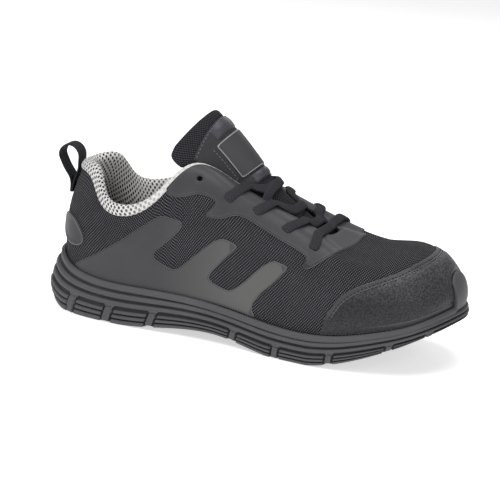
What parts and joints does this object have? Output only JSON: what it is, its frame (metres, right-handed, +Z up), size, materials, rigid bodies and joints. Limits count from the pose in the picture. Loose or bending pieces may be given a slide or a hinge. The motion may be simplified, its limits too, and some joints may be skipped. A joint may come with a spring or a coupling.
{
  "type": "safety sneaker",
  "caption": "Low safety sneaker for the right foot: mesh upper with welded overlays and leather toe cap, padded collar and tongue, crossed laces, heel loop and ribbed rubber sole.",
  "frame": {"origin": "centre of the shoe's box, on the floor that the sole stands on", "axes": "+X from the heel to the toe, +Z up, +Y to the inner (medial) side of the right foot"},
  "size_m": [0.3002, 0.11, 0.1529],
  "materials": {
    "sole_rubber": "matte moulded rubber, faint moulding marks",
    "midsole_rubber": "matte to satin moulded rubber with a smooth rim",
    "upper_fabric": "charcoal air-mesh fabric with rows of fine light dots",
    "toe_leather": "black finely grained coated leather",
    "overlay_film": "dark grey semi-gloss welded film",
    "quarter_film": "dark grey satin welded film with a thin light edge line",
    "heel_badge": "dark grey satin moulded badge, bare",
    "lining_mesh": "silver grey spacer mesh with oval holes",
    "tongue_fabric": "dark padded fabric",
    "strap_leather": "dark smooth strip with a satin gloss",
    "label_plate": "dark bare label with a thin light border",
    "insole_fabric": "dark grey fleece over foam",
    "webbing": "blue-black woven webbing",
    "lace": "black flat woven lace"
  },
  "bodies": {
    "root": {"outsole": "sole_rubber", "midsole": "midsole_rubber", "upper": "upper_fabric", "toe_cap": "toe_leather", "eyestay": "overlay_film", "quarter_overlay_outer": "quarter_film", "quarter_overlay_inner": "quarter_film", "heel_badge": "heel_badge", "collar_lining": "lining_mesh", "tongue": "tongue_fabric", "tongue_strap": "strap_leather", "tongue_label": "label_plate", "insole": "insole_fabric", "heel_loop": "webbing", "lace_cross_1": "lace", "lace_cross_2": "lace", "lace_cross_3": "lace", "lace_bar": "lace"}
  },
  "joints": []
}
